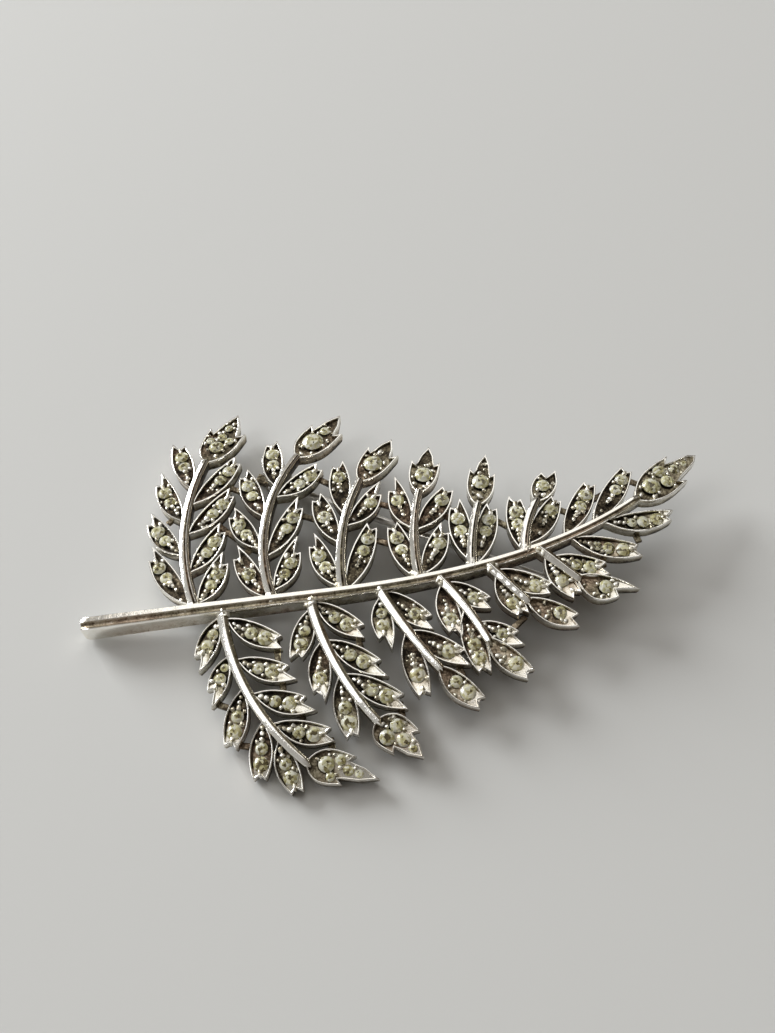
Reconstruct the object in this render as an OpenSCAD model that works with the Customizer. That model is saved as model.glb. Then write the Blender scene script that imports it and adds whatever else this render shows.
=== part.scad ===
// Fern spray brooch: a curved main stem with side fronds of small cupped leaflets, each set with
// round paste stones. It lies on its back, on a hinge and a catch under the spray and on the tips of
// the nearest frond. The spray is modelled flat in its own plane and then laid down as it rests.

/* [Main stem] */
// Length along the stem, from the cut end to the rounded end over the last leaf
stem_len = 74.4; // [74:0.1:75]
// Width at the cut end
stem_w = 2.0; // [1.6:0.1:2.4]
// Width at the rounded end
stem_end_w = 1.1; // [0.9:0.1:1.4]
// Height of the crest above the leaflets' rims, at the cut end
stem_crest = 0.95; // [0.8:0.05:1.2]
// Height of the crest above the leaflets' rims, at the rounded end
stem_end_crest = 0.4; // [0.3:0.05:0.6]
// Depth from crest to underside, at the cut end
stem_depth = 3.2; // [2.8:0.1:3.4]

/* [Side fronds] */
// Width of a frond's stem at its foot
frond_w = 1.45; // [1.2:0.05:1.6]
// Width of a frond's stem at its tip
frond_end_w = 1.0; // [0.85:0.05:1.1]
// Height of a frond's crest above the leaflets' rims
frond_crest = 0.5; // [0.3:0.05:0.7]
// Depth from crest to underside of a frond's stem
frond_depth = 2.2; // [1.9:0.1:2.4]

/* [Leaflets] */
// Width of a full leaflet
leaf_w = 3.0; // [2.9:0.05:3.1]
// Height of a leaflet's wall
leaf_depth = 1.6; // [1.5:0.1:1.8]
// Thickness of the rim
rim = 0.3; // [0.26:0.02:0.32]
// Thickness of the floor under the stones
floor_t = 0.4; // [0.3:0.05:0.5]
// How far each leaflet dips from its foot to its tip, in degrees
droop = 3; // [2:0.5:4]

/* [Stones] */
// Diameter of the outer stone of a leaflet
stone_d = 1.8; // [1.6:0.05:1.85]
// Diameter of the next stone towards the foot
inner_stone_d = 1.5; // [1.3:0.05:1.55]
// Width of a stone's table as a share of its diameter
table_share = 0.56; // [0.5:0.02:0.64]

/* [Pin and catch] */
// Diameter of the pin stem
pin_d = 1.0; // [0.9:0.05:1]
// Diameter of the hinge rivet
rivet_d = 0.6; // [0.5:0.05:0.6]
// Drop from the leaflets' rims to the pin's axis
pin_drop = 4.9; // [4.8:0.05:5]
// Thickness of the hinge's side walls
ear_t = 0.4; // [0.35:0.05:0.5]

/* [Lie] */
// How far the brooch leans towards its front edge, in degrees
lean = 3.58; // [3.2:0.01:4]
// How far the brooch rises towards its tip, in degrees
rise = 2.2; // [1.8:0.01:2.6]
// Height of the spray's centre over the surface
lie_h = 5.348; // [5:0.001:5.6]
// Shift that brings the middle of the outline over the origin
mid_x = -1.22; // [-2:0.01:2]
mid_y = -3.62; // [-4:0.01:4]

/* [Hidden] */
$fn = 48;
steel = [0.78, 0.78, 0.79];
paste = [0.86, 0.88, 0.66];

// The foot of the main stem in the spray's plane, its first heading, where it starts to bend and how
// fast its heading grows from there, with the length and with its square
stem_foot = [-38.75, -2.6];
stem_heading = 6;
bend_from = 29.4;
bend = 0.235;
more_bend = 0.0099;

// Fronds, six above the stem and six below it: foot along the main stem, heading at the foot and at
// the tip, length
FOOT = 0; HEAD = 1; HEAD_END = 2; LEN = 3;
FRONDS = [
    [14.5, 113, 71, 24.4],
    [24.3, 112, 57, 23.9],
    [33.1, 100, 67, 17.8],
    [42.8, 101, 77, 13.9],
    [49.6, 91, 74, 10.2],
    [56.7, 88, 61, 8.7],
    [17.7, -81, -38, 23.8],
    [28.8, -76, -47, 18.9],
    [37.5, -61, -49, 13.5],
    [45.2, -48, -64, 10.8],
    [51.7, -47, -47, 7.3],
    [58.6, -42, -42, 6.8],
];

// End leaves, one for each frond and the last for the main stem: heading, lengths of the left, middle
// and right tooth, angle between the teeth, width, then place and diameter of the main stone. A leaf
// with no middle tooth has two.
E_HEAD = 0; E_LEFT = 1; E_MID = 2; E_RIGHT = 3; SPREAD = 4; E_WIDTH = 5; MAIN_X = 6; MAIN_Y = 7; MAIN_D = 8;
END_LEAVES = [
    [67, 6.7, 9.8, 7.3, 22, 4.9, 3.3, 0.1, 1.9],
    [53, 6.5, 9.7, 7.5, 19, 4.7, 3.7, 0.1, 2.4],
    [59, 6.4, 8.7, 7.0, 19, 4.0, 3.8, 0.1, 2.1],
    [79, 5.9, 8.2, 6.1, 19, 3.8, 3.4, -0.1, 2.0],
    [80, 6.5, 8.9, 6.1, 16, 3.7, 4.2, 0.1, 2.0],
    [67, 5.0, 0, 6.0, 0, 3.2, 3.1, 0.0, 1.5],
    [-13, 6.0, 8.9, 5.0, 19, 4.4, 2.4, 0.3, 1.6],
    [-39, 5.4, 7.2, 4.6, 24, 4.8, 2.3, -0.8, 1.7],
    [-41, 6.8, 0, 7.2, 0, 3.1, 4.8, -0.1, 1.8],
    [-42, 7.0, 0, 7.2, 0, 3.0, 4.8, -0.1, 1.7],
    [-23, 6.8, 0, 7.4, 0, 3.1, 4.6, 0.0, 1.5],
    [-18, 8.0, 0, 5.8, 0, 3.8, 3.9, -0.1, 1.5],
    [39, 9.0, 11.8, 8.2, 15, 4.8, 3.4, 0.3, 2.0],
];

// Further stones of the end leaves: leaf, place along and across it, diameter
END_STONES = [
    [0, 4.1, 1.5, 1.1], [0, 5.2, 0.2, 1.2], [0, 7.1, 0.1, 1.0], [0, 4.9, -1.1, 1.1],
    [1, 6.2, 0.0, 1.2],
    [6, 3.9, 1.2, 1.1], [6, 3.2, -1.0, 0.9], [6, 5.1, 0.2, 1.1], [6, 6.4, 0.1, 0.9],
    [7, 2.3, 1.0, 1.5], [7, 4.0, 0.2, 1.4], [7, 5.5, 0.1, 0.9],
    [8, 2.9, 0.0, 1.3],
    [12, 6.0, 1.3, 1.5], [12, 5.7, -0.5, 1.5], [12, 7.9, 0.3, 1.3], [12, 9.5, 0.1, 0.9],
];

// Leaflets: frond, or the main stem as the one after the last frond, place along it, heading, lengths
// of the left and the right tooth, number of stones, and how far these sit back towards the foot if
// they don't start at the notch
FROND = 0; AT = 1; L_HEAD = 2; LEFT = 3; RIGHT = 4; STONES = 5; BACK = 6;
LEAFLETS = [
    [0, 1.2, 128, 9.4, 11.2, 2], [0, 8.6, 130, 7.4, 8.8, 2], [0, 13.8, 120, 8.0, 9.8, 2],
    [0, 19.2, 109, 9.2, 8.2, 2], [0, 1.0, 66, 8.2, 6.8, 2], [0, 5.8, 62, 8.4, 7.4, 2],
    [0, 11.8, 52, 9.0, 8.2, 2], [0, 16.6, 54, 9.6, 9.0, 2],
    [1, 0.8, 125, 7.8, 9.4, 1, 1.3], [1, 8.0, 126, 7.0, 8.0, 2], [1, 12.8, 114, 8.0, 9.0, 2],
    [1, 17.8, 97, 7.8, 8.2, 2], [1, 1.6, 67, 8.6, 6.4, 2], [1, 6.8, 65, 10.2, 8.6, 2],
    [1, 16.2, 42, 7.6, 7.4, 2],
    [2, 1.0, 118, 7.4, 9.0, 2], [2, 7.4, 113, 7.8, 8.6, 1, 1.3], [2, 11.8, 97, 8.2, 9.0, 1],
    [2, 0.4, 72, 10.4, 10.0, 2], [2, 10.0, 54, 8.4, 6.6, 1],
    [3, 0.6, 110, 8.4, 8.8, 2], [3, 7.8, 109, 6.8, 8.8, 1], [3, 0.8, 66, 8.4, 7.2, 1],
    [3, 7.6, 57, 7.6, 7.8, 1],
    [4, 1.4, 99, 8.4, 9.6, 2], [4, 0.6, 74, 9.8, 9.2, 2],
    [5, 0.6, 92, 8.4, 7.8, 2], [5, 1.4, 59, 8.4, 8.2, 1],
    [6, 1.6, -24, 7.4, 8.2, 2], [6, 7.4, -13, 6.4, 7.8, 2], [6, 12.4, -9, 6.4, 8.0, 2],
    [6, 17.0, -10, 6.8, 7.6, 2], [6, 1.2, -112, 7.4, 5.8, 2], [6, 6.6, -111, 6.6, 4.8, 2],
    [6, 11.2, -99, 7.2, 7.0, 2], [6, 16.0, -91, 6.8, 6.8, 2], [6, 19.0, -68, 6.6, 6.4, 2],
    [7, 0.8, -32, 7.0, 8.0, 2], [7, 6.4, -27, 7.0, 8.8, 2], [7, 11.4, -25, 7.4, 8.6, 2],
    [7, 1.6, -103, 6.4, 6.8, 2], [7, 6.2, -91, 7.6, 6.4, 1], [7, 11.2, -77, 7.6, 7.6, 2],
    [8, 0.8, -35, 6.8, 8.0, 1], [8, 7.2, -27, 7.0, 8.4, 1], [8, 1.2, -84, 7.2, 5.6, 2],
    [8, 7.0, -74, 8.2, 8.2, 1, 0.9],
    [9, 1.4, -28, 5.6, 6.4, 1], [9, 8.0, -22, 4.8, 6.0, 1], [9, 1.0, -76, 7.4, 6.6, 1],
    [9, 5.6, -74, 8.6, 8.2, 2],
    [10, 1.4, -21, 7.0, 7.2, 1], [10, 1.8, -58, 6.4, 6.0, 1],
    [11, 2.2, -13, 6.6, 7.4, 2], [11, 1.4, -54, 6.4, 6.6, 1, 0.8],
    [12, 62.6, 63, 9.0, 9.3, 2], [12, 67.0, 57, 10.0, 10.0, 2], [12, 68.2, 8, 9.4, 8.8, 3],
    [12, 63.2, -10, 8.6, 9.2, 3],
];

// Tie bars under the leaflets: middle x and y, heading, length
TIES = [
    [-21.1, 18.0, -25, 3.6],
    [-21.5, 11.1, -40, 3.8],
    [-28.9, 13.8, 46, 2.6],
    [-18.3, 8.3, 50, 2.6],
    [-9.4, 19.0, -30, 3.8],
    [-10.4, 12.8, -20, 4.0],
    [-0.6, 14.5, -20, 3.8],
    [-0.9, 8.8, -18, 3.6],
    [7.3, 12.5, -25, 3.4],
    [14.6, 11.2, -34, 3.6],
    [22.6, 13.0, -27, 2.8],
    [27.8, 15.2, 30, 2.4],
    [32.6, 17.2, -26, 2.6],
    [31.7, 9.5, -73, 3.0],
    [27.0, 6.2, -84, 3.4],
    [-14.0, -6.4, -84, 3.2],
    [-13.2, -10.1, -84, 3.2],
    [-10.7, -14.2, -78, 3.0],
    [-7.0, -18.6, -81, 3.2],
    [-3.9, -5.1, -78, 3.2],
    [-1.6, -9.7, -80, 3.2],
    [1.3, -14.4, -80, 3.2],
    [-20.3, -13.0, -20, 2.2],
    [-17.3, -17.9, -8, 2.0],
    [8.4, -8.9, -70, 3.0],
    [15.8, -3.1, 45, 2.8],
];
tie_w = 0.8;
tie_t = 0.5;
tie_z = -1.75;

// The pin's axis in the spray's plane: the hinge and the far end of its point
hinge_xy = [-16.1, 20.6];
point_xy = [23.2, 3.4];
pin_run = point_xy - hinge_xy;
pin_len = norm(pin_run);
pin_heading = atan2(pin_run[1], pin_run[0]);
pin_cone = 3.5;
eye_r = 0.65;
eye_t = 1.0;
play = 0.05;

// The hinge's channel round the pin's axis: its ends, its floor and top, the gap between its walls,
// the bar that runs out behind it, and the post that carries it
channel_back = -1.0;
channel_front = 2.6;
channel_low = -1.05;
channel_roof = 0.7;
roof_t = 0.35;
back_t = 0.25;
ear_gap = eye_t + 0.2;
bar_len = 1.9;
bar_w = 1.4;
bar_t = 0.8;
post_back = 1.2;
post_w = 1.4;
post_top = 2.8;

// The catch: a ring round the pin's point, open away from the spray, on a post under the last frond
catch_at = pin_len - 2.2;
catch_r = 1.6;
catch_t = 0.6;
catch_len = 2.2;
catch_slot = 1.15;
catch_post_w = 1.0;
catch_top = 3.4;

// The spray's gentle crown: height of the leaflets' rims at a point of its plane
function crown(p) = -0.0022 * pow(p[1] - 0.2 * p[0] - 4, 2) - 0.0005 * pow(p[0], 2);
function slope(p, a) = crown(p + 0.5 * [cos(a), sin(a)]) - crown(p - 0.5 * [cos(a), sin(a)]);
function unit(v) = v / norm(v);
function turn(a, b) = a[0] * b[1] - a[1] * b[0];

// Points of a stem that starts at p0 and whose heading is a function of its length
function stem_path(p0, length, n, heading) = let (d = length / (n - 1)) [
    for (i = 0, p = p0; i < n;
        p = p + d * [cos(heading((i + 0.5) * d)), sin(heading((i + 0.5) * d))], i = i + 1) p
];
STEM = stem_path(stem_foot, stem_len, 25, function (s) let (u = max(s - bend_from, 0))
    stem_heading + bend * u + more_bend * u * u);
STEMS = concat(
    [for (f = FRONDS) stem_path(along(STEM, stem_len, f[FOOT]), f[LEN], 9, function (s)
        f[HEAD] + (f[HEAD_END] - f[HEAD]) * s / f[LEN])],
    [STEM]
);
LENGTHS = concat([for (f = FRONDS) f[LEN]], [stem_len]);

// The point at a length along an evenly stepped path, and the path's heading near a point of it
function along(path, length, s) = let (
    k = max(0, min(s / length, 1)) * (len(path) - 1),
    i = min(floor(k), len(path) - 2)
) path[i] + (k - i) * (path[i + 1] - path[i]);
function heading_at(path, i) = let (
    a = path[max(i - 1, 0)],
    b = path[min(i + 1, len(path) - 1)]
) atan2(b[1] - a[1], b[0] - a[0]);

// Faces that close a stack of n rings of m points each
function skin(m, n) = concat(
    [[for (i = [0:m - 1]) i]],
    [for (j = [0:n - 2], i = [0:m - 1])
        [j * m + i, (j + 1) * m + i, (j + 1) * m + (i + 1) % m, j * m + (i + 1) % m]],
    [[for (i = [m - 1:-1:0]) (n - 1) * m + i]]
);

// A stem swept along a path: a rounded crest over flat flanks that close in towards the underside
function bar_section(w, crest, depth) = [
    [-0.42 * w, crest - depth], [-0.5 * w, crest - 0.45 * w], [-0.28 * w, crest - 0.1 * w],
    [0.28 * w, crest - 0.1 * w], [0.5 * w, crest - 0.45 * w], [0.42 * w, crest - depth]
];
module swept_bar(path, w, crest, depth) {
    n = len(path);
    points = [for (i = [0:n - 1]) let (
        t = i / (n - 1),
        a = heading_at(path, i),
        section = bar_section(
            w[0] + (w[1] - w[0]) * t,
            crest[0] + (crest[1] - crest[0]) * t,
            depth[0] + (depth[1] - depth[0]) * t)
    ) for (q = section) [path[i][0] + q[0] * sin(a), path[i][1] - q[0] * cos(a), crown(path[i]) + q[1]]];
    polyhedron(points, skin(6, n), convexity = 6);
}

// One side of a leaflet from its foot towards its tooth, s being 1 on the left and -1 on the right;
// the leaflet bows sideways by the height of its arch
tooth_turn = 155;
arch = 0.45;
function arc_y(t, h) = -h * sin(180 * t);
function belly(t, w) = w / 2 * pow(sin(tooth_turn * pow(t, 0.9)), 0.8);
function leaf_side(l, w, h, s) = [for (t = [0.12, 0.3, 0.5, 0.7, 0.86]) [t * l, s * belly(t, w) + arc_y(t, h)]];
function reversed(v) = [for (i = [len(v) - 1:-1:0]) v[i]];
foot_in = 0.4;
notch_in = 0.6;

// Outline of a leaflet: pointed foot, full belly and two teeth with a notch between them. Its belly
// bows down the spray, whichever way the leaflet points.
function two_teeth(left, right, w, a) = let (h = arch * cos(a)) concat(
    [[-foot_in, 0]],
    leaf_side(right, w, h, -1),
    [[right, -belly(1, w)], [min(left, right) - notch_in, arc_y(0.93, h)], [left, belly(1, w)]],
    reversed(leaf_side(left, w, h, 1))
);

// Outline of an end leaf with three teeth, the middle one longest
function lobe_side(l, spread, bulge, s) = [
    for (t = [0.12, 0.3, 0.5, 0.7, 0.88])
        t * l * [cos(spread), s * sin(spread)] + bulge * sin(180 * pow(t, 0.8)) * [-sin(spread), s * cos(spread)]
];
function lobe_end(l, mid, spread, bulge, s) = let (notch = 0.84 * l * [cos(0.76 * spread), s * sin(0.76 * spread)]) [
    l * [cos(spread), s * sin(spread)],
    notch,
    [(notch[0] + mid) / 2, 0.62 * notch[1] + s * 0.1 * bulge]
];
function three_teeth(left, mid, right, spread, w) = let (
    bulge = w / 2 - (left + right) / 4 * sin(spread)
) concat(
    [[-foot_in, 0]],
    lobe_side(right, spread, bulge, -1),
    lobe_end(right, mid, spread, bulge, -1),
    [[mid, 0]],
    reversed(lobe_end(left, mid, spread, bulge, 1)),
    reversed(lobe_side(left, spread, bulge, 1))
);

// The outline moved inwards by r, with its corners kept sharp up to a limit
function inset(p, r) = let (n = len(p)) [
    for (i = [0:n - 1]) let (
        a = unit(p[i] - p[(i + n - 1) % n]),
        b = unit(p[(i + 1) % n] - p[i]),
        m = [-a[1] - b[1], a[0] + b[0]] / (1 + a * b),
        most = turn(a, b) < 0 ? 1 : 2
    ) p[i] + r * m * min(1, most / norm(m))
];

// Puts a leaflet's own frame at its foot, following the crown and dipping to its tip
module leaf_frame(p, a, l) {
    m = p + 0.5 * l * [cos(a), sin(a)];
    translate([p[0], p[1], crown(p)])
        rotate([atan(slope(m, a + 90)), droop - atan(slope(m, a)), a])
            children();
}
module cup(outline) {
    difference() {
        translate([0, 0, -leaf_depth])
            linear_extrude(leaf_depth)
                polygon(outline);
        translate([0, 0, floor_t - leaf_depth])
            linear_extrude(leaf_depth)
                polygon(inset(outline, rim));
    }
}

// A leaflet's mean length, its width, and its foot on the flank of its stem
function mean_len(v) = (v[LEFT] + v[RIGHT]) / 2;
function width_of(v) = leaf_w * min(1, 0.5 + 0.07 * mean_len(v));
function leaf_outline(v) = two_teeth(v[LEFT], v[RIGHT], width_of(v), v[L_HEAD]);
flank = 0.45;
function leaf_foot(v) = let (
    path = STEMS[v[FROND]],
    length = LENGTHS[v[FROND]],
    a = heading_at(path, round(v[AT] / length * (len(path) - 1))),
    side = sin(v[L_HEAD] - a) > 0 ? 1 : -1
) along(path, length, v[AT]) + side * flank * [-sin(a), cos(a)];
module leaflet_place(v) {
    leaf_frame(leaf_foot(v), v[L_HEAD], mean_len(v))
        children();
}
end_overlap = 0.8;
module end_place(i) {
    leaf_frame(along(STEMS[i], LENGTHS[i], LENGTHS[i] - end_overlap), END_LEAVES[i][E_HEAD], END_LEAVES[i][E_LEFT])
        children();
}
function end_outline(v) = v[E_MID] > 0
    ? three_teeth(v[E_LEFT], v[E_MID], v[E_RIGHT], v[SPREAD], v[E_WIDTH])
    : two_teeth(v[E_LEFT], v[E_RIGHT], v[E_WIDTH], v[E_HEAD]);

// Lays the spray down as it rests
module laid() {
    translate([mid_x, mid_y, lie_h])
        rotate([lean, -rise, 0])
            children();
}

// Puts the pin's own frame at the hinge: +X along the pin, +Z towards the spray
module pin_frame() {
    translate([hinge_xy[0], hinge_xy[1], -pin_drop])
        rotate([0, 0, pin_heading])
            children();
}

module tie(r) {
    translate([r[0], r[1], crown(r) + tie_z])
        rotate([0, 0, r[2]])
            translate([-r[3] / 2, -tie_w / 2, 0])
                cube([r[3], tie_w, tie_t]);
}

// The hinge: a channel, open below and in front, with a bar behind it, on a post under the second frond
module hinge_channel() {
    length = channel_front - channel_back;
    width = ear_gap + 2 * ear_t;
    pin_frame()
        difference() {
            union() {
                for (s = [-1, 1])
                    translate([channel_back, s * (ear_gap + ear_t) / 2 - ear_t / 2, channel_low])
                        cube([length, ear_t, channel_roof - channel_low + roof_t]);
                translate([channel_back, -width / 2, channel_roof])
                    cube([length, width, roof_t]);
                translate([channel_back, -width / 2, channel_low])
                    cube([back_t, width, channel_roof - channel_low + roof_t]);
                translate([channel_back - bar_len, -bar_w / 2, channel_low])
                    cube([bar_len + back_t, bar_w, bar_t]);
                translate([post_back, -post_w / 2, channel_roof])
                    cube([channel_front - post_back, post_w, post_top - channel_roof]);
            }
            rotate([90, 0, 0])
                translate([0, 0, -ear_gap])
                    cylinder(r = rivet_d / 2 + play / 2, h = 2 * ear_gap);
        }
}

module catch_ring() {
    pin_frame()
        translate([catch_at, 0, 0]) {
            rotate([90, 0, 90])
                translate([0, 0, -catch_len / 2])
                    difference() {
                        cylinder(r = catch_r, h = catch_len);
                        translate([0, 0, -1])
                            cylinder(r = catch_r - catch_t, h = catch_len + 2);
                        translate([-catch_slot / 2, -catch_r - 1, -1])
                            cube([catch_slot, catch_r + 1, catch_len + 2]);
                    }
            translate([-catch_len / 2, -catch_post_w / 2, catch_r - catch_t / 2])
                cube([catch_len, catch_post_w, catch_top - catch_r + catch_t / 2]);
        }
}

// A stem with its leaflets and its end leaf; the main stem is the one after the last frond
module stem_bar(i) {
    if (i == len(FRONDS))
        swept_bar(STEM, [stem_w, stem_end_w], [stem_crest, stem_end_crest], [stem_depth, 1.8]);
    else
        swept_bar(STEMS[i], [frond_w, frond_end_w], [frond_crest, 0.3], [frond_depth, 1.6]);
}
module frond(i) {
    union() {
        stem_bar(i);
        for (v = LEAFLETS)
            if (v[FROND] == i)
                leaflet_place(v)
                    cup(leaf_outline(v));
        end_place(i)
            cup(end_outline(END_LEAVES[i]));
    }
}

module fern_frame() {
    color(steel)
        laid() {
            for (i = [0:len(FRONDS)])
                frond(i);
            for (r = TIES)
                tie(r);
            hinge_channel();
            catch_ring();
        }
}

module hinge_rivet() {
    shank = ear_gap + 2 * ear_t + 0.06;
    color(steel)
        laid()
            pin_frame()
                rotate([90, 0, 0])
                    translate([0, 0, -shank / 2]) {
                        cylinder(r = rivet_d / 2, h = shank);
                        for (z = [-0.25, shank])
                            translate([0, 0, z])
                                cylinder(r = rivet_d / 2 + 0.25, h = 0.25);
                    }
}

module pin_needle() {
    color(steel)
        laid()
            pin_frame()
                difference() {
                    union() {
                        rotate([90, 0, 0])
                            translate([0, 0, -eye_t / 2])
                                cylinder(r = eye_r, h = eye_t);
                        rotate([0, 90, 0])
                            cylinder(r = pin_d / 2, h = pin_len - pin_cone);
                        translate([pin_len - pin_cone, 0, 0])
                            rotate([0, 90, 0])
                                cylinder(r1 = pin_d / 2, r2 = 0.08, h = pin_cone);
                    }
                    rotate([90, 0, 0])
                        translate([0, 0, -2])
                            cylinder(r = rivet_d / 2 + play, h = 4);
                }
}

// A cut stone: an eight-sided table, eight crown facets and eight pavilion facets to a point
module stone(d) {
    sides = 8;
    r = d / 2;
    ring = function (rr, z) [for (i = [0:sides - 1]) [rr * cos(360 * i / sides), rr * sin(360 * i / sides), z]];
    points = concat(ring(table_share * r, 0.3 * r), ring(r, 0), [[0, 0, -0.68 * r]]);
    faces = concat(
        [[for (i = [sides - 1:-1:0]) i]],
        [for (i = [0:sides - 1]) [i, (i + 1) % sides, sides + (i + 1) % sides, sides + i]],
        [for (i = [0:sides - 1]) [sides + i, sides + (i + 1) % sides, 2 * sides]]
    );
    polyhedron(points, faces, convexity = 2);
}

// The largest stone that a place in a cup takes, given the cup's outline
stone_gap = 0.12;
function to_edge(q, a, b) = norm(q - a - max(0, min(1, (q - a) * (b - a) / ((b - a) * (b - a)))) * (b - a));
function most_d(q, outline) = let (n = len(outline))
    2 * (min([for (i = [0:n - 1]) to_edge(q, outline[i], outline[(i + 1) % n])]) - rim - stone_gap);

// A leaflet's stones, from the notch towards the foot: place and diameter
stone_z = -0.3;
notch_to_seat = 1.3;
function stone_scale(v) = min(1, 0.4 + 0.08 * min(v[LEFT], v[RIGHT]));
function leaf_seats(v) = let (
    back = is_undef(v[BACK]) ? 0 : v[BACK],
    x = min(v[LEFT], v[RIGHT]) - notch_in - notch_to_seat - back,
    k = stone_scale(v),
    outline = leaf_outline(v)
) [
    for (i = [0:v[STONES] - 1]) let (
        xi = x - [0, 1.9, 3.4][i] * k,
        q = [xi, arc_y(xi / mean_len(v), arch * cos(v[L_HEAD]))]
    ) [q, min([stone_d, inner_stone_d, 1.2][i] * k, most_d(q, outline))]
];
module seat(q, d) {
    translate([q[0], q[1], stone_z])
        stone(d);
}

module leaf_stones() {
    color(paste)
        laid()
            for (v = LEAFLETS)
                leaflet_place(v)
                    for (s = leaf_seats(v))
                        seat(s[0], s[1]);
}
module end_stones() {
    color(paste)
        laid()
            for (s = END_STONES)
                end_place(s[0])
                    seat([s[1], s[2]], min(s[3], most_d([s[1], s[2]], end_outline(END_LEAVES[s[0]]))));
}
module main_stone(i) {
    v = END_LEAVES[i];
    q = [v[MAIN_X], v[MAIN_Y]];
    color(paste)
        laid()
            end_place(i)
                seat(q, min(v[MAIN_D], most_d(q, end_outline(v))));
}

fern_frame();
hinge_rivet();
pin_needle();
leaf_stones();
end_stones();
for (i = [0:len(FRONDS)])
    main_stone(i);
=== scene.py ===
import random
from collections import namedtuple
from math import atan, atan2, cos, degrees, pi, radians, sin

import bmesh
import bpy
from mathutils import Matrix, Vector, noise


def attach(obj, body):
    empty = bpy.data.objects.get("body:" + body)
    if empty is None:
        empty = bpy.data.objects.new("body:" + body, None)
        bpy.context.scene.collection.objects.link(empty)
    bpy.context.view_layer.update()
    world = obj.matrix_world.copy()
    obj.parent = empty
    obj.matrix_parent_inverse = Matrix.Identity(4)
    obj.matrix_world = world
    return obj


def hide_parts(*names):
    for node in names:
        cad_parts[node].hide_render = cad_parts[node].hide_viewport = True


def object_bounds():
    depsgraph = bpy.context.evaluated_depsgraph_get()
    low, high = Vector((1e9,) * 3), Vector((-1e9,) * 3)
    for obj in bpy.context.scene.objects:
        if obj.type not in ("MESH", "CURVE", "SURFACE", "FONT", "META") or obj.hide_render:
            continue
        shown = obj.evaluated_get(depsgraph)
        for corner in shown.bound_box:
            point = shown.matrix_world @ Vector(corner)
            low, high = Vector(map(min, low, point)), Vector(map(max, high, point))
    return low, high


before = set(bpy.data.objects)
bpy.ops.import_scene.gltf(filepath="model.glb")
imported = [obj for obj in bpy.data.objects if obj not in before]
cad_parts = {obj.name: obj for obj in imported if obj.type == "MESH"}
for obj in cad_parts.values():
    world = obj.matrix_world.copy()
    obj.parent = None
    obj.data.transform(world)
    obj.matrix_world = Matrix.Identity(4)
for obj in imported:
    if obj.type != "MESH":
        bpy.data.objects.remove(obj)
cad_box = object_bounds()

# Everything on the brooch is worked out in the spray's own frame, in millimetres, from the same
# measures as its solids. Each piece is laid down as the solids are when it is made.
SPRAY_AT, LEAN, RISE = (-1.22, -3.62, 5.348), 3.58, 2.2
LAID = (Matrix.Translation(SPRAY_AT) @ Matrix.Rotation(radians(-RISE), 4, "Y")
        @ Matrix.Rotation(radians(LEAN), 4, "X"))
METRE = Matrix.Scale(0.001, 4)

STEM_LEN, STEM_W, STEM_END_W = 74.4, 2.0, 1.1
STEM_CREST, STEM_END_CREST, STEM_DEPTH, STEM_END_DEPTH = 0.95, 0.4, 3.2, 1.8
FROND_W, FROND_END_W, FROND_CREST, FROND_END_CREST = 1.45, 1.0, 0.5, 0.3
FROND_DEPTH, FROND_END_DEPTH = 2.2, 1.6
LEAF_W, DROOP = 3.0, 3
STONE_D, INNER_STONE_D, THIRD_STONE_D, TABLE_SHARE = 1.95, 1.65, 1.3, 0.56

# Fronds: foot along the main stem, heading at the foot and at the tip, length
Frond = namedtuple("Frond", "foot heading tip_heading length")
FRONDS = [Frond(*row) for row in (
    (14.5, 113, 71, 24.4), (24.3, 112, 57, 23.9), (33.1, 100, 67, 17.8), (42.8, 101, 77, 13.9),
    (49.6, 91, 74, 10.2), (56.7, 88, 61, 8.7), (17.7, -81, -38, 23.8), (28.8, -76, -47, 18.9),
    (37.5, -61, -49, 13.5), (45.2, -48, -64, 10.8), (51.7, -47, -47, 7.3), (58.6, -42, -42, 6.8),
)]
MAIN = len(FRONDS)

# End leaves: heading, lengths of the left, middle and right tooth, angle between the teeth, width,
# place and diameter of the main stone. A leaf with no middle tooth has two teeth.
EndLeaf = namedtuple("EndLeaf", "heading left mid right spread width x y d")
END_LEAVES = [EndLeaf(*row) for row in (
    (67, 6.7, 9.8, 7.3, 22, 4.9, 3.3, 0.1, 1.9), (53, 6.5, 9.7, 7.5, 19, 4.7, 3.7, 0.1, 2.4),
    (59, 6.4, 8.7, 7.0, 19, 4.0, 3.8, 0.1, 2.1), (79, 5.9, 8.2, 6.1, 19, 3.8, 3.4, -0.1, 2.0),
    (80, 6.5, 8.9, 6.1, 16, 3.7, 4.2, 0.1, 2.0), (67, 5.0, 0, 6.0, 0, 3.2, 3.1, 0.0, 1.5),
    (-13, 6.0, 8.9, 5.0, 19, 4.4, 2.4, 0.3, 1.6), (-39, 5.4, 7.2, 4.6, 24, 4.8, 2.3, -0.8, 1.7),
    (-41, 6.8, 0, 7.2, 0, 3.1, 4.8, -0.1, 1.8), (-42, 7.0, 0, 7.2, 0, 3.0, 4.8, -0.1, 1.7),
    (-23, 6.8, 0, 7.4, 0, 3.1, 4.6, 0.0, 1.5), (-18, 8.0, 0, 5.8, 0, 3.8, 3.9, -0.1, 1.5),
    (39, 9.0, 11.8, 8.2, 15, 4.8, 3.4, 0.3, 2.0),
)]

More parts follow.
